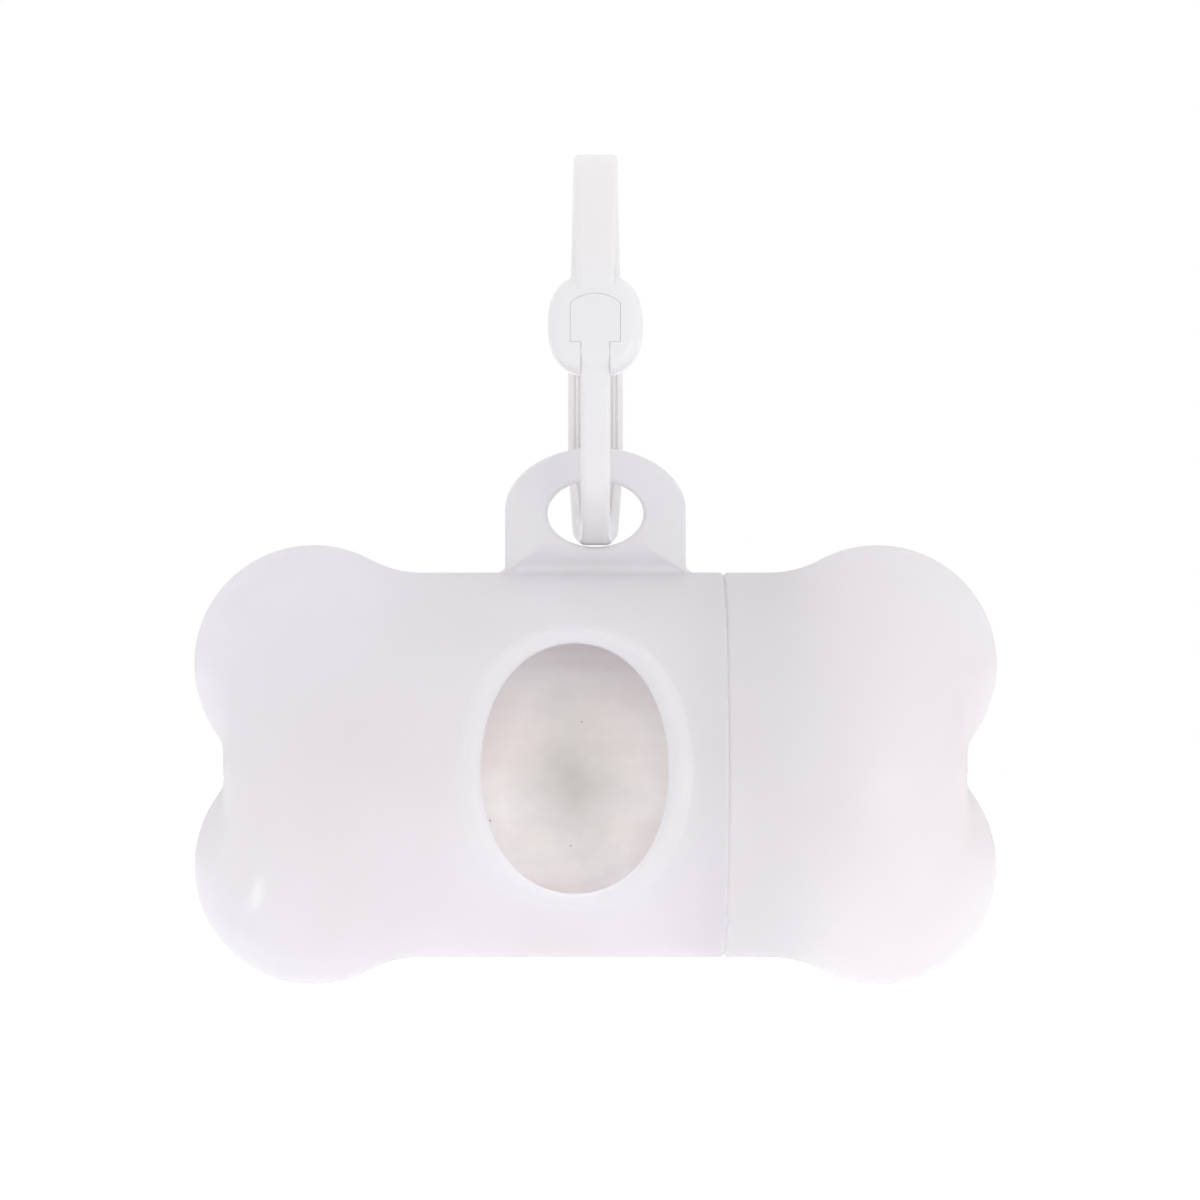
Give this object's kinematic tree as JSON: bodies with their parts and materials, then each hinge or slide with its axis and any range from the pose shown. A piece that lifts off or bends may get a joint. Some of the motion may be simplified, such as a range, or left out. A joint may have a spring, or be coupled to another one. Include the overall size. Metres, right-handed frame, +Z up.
{
  "type": "waste bag dispenser",
  "caption": "Bone-shaped plastic case for a roll of pet waste bags, with an oval dispensing window, a push-fit end cap and a moulded spring clip through its hanger.",
  "frame": {"origin": "inside of the clip's upper bend, at the middle of the band, where it bears on a leash or belt loop", "axes": "+X along the roll towards the end cap, +Y from the dispensing window to the back, +Z up from the case to the clip"},
  "size_m": [0.0818, 0.0396, 0.0846],
  "materials": {
    "case_plastic": "milky satin moulding",
    "clip_plastic": "milky satin moulding",
    "bag_film": "thin matt film, tightly wound",
    "core_board": "plain grey-brown board"
  },
  "bodies": {
    "clip": {"clip_frame": "clip_plastic"},
    "gate": {"clip_gate": "clip_plastic"},
    "case": {"case_body": "case_plastic"},
    "cap": {"end_cap": "case_plastic"},
    "roll": {"roll_core": "core_board", "bag_roll": "bag_film", "leading_bag": "bag_film"}
  },
  "joints": [
    {"name": "gate_swing", "type": "hinge", "parent": "clip", "child": "gate", "pos_m": [0, -0.00765, -0.0264], "axis": [-1, 0, 0], "range_deg": [0, 22], "stiffness_Nm_per_rad": 0.1, "springref_deg": -5.73},
    {"name": "case_swing", "type": "hinge", "parent": "clip", "child": "case", "pos_m": [0, 0, -0.028], "axis": [1, 0, 0], "range_deg": [-30, 30]},
    {"name": "cap_pull", "type": "slide", "parent": "case", "child": "cap", "axis": [1, 0, 0], "range_m": [0, 0.025]},
    {"name": "roll_spin", "type": "hinge", "parent": "case", "child": "roll", "pos_m": [0, 0, -0.0618], "axis": [1, 0, 0], "continuous": true}
  ]
}
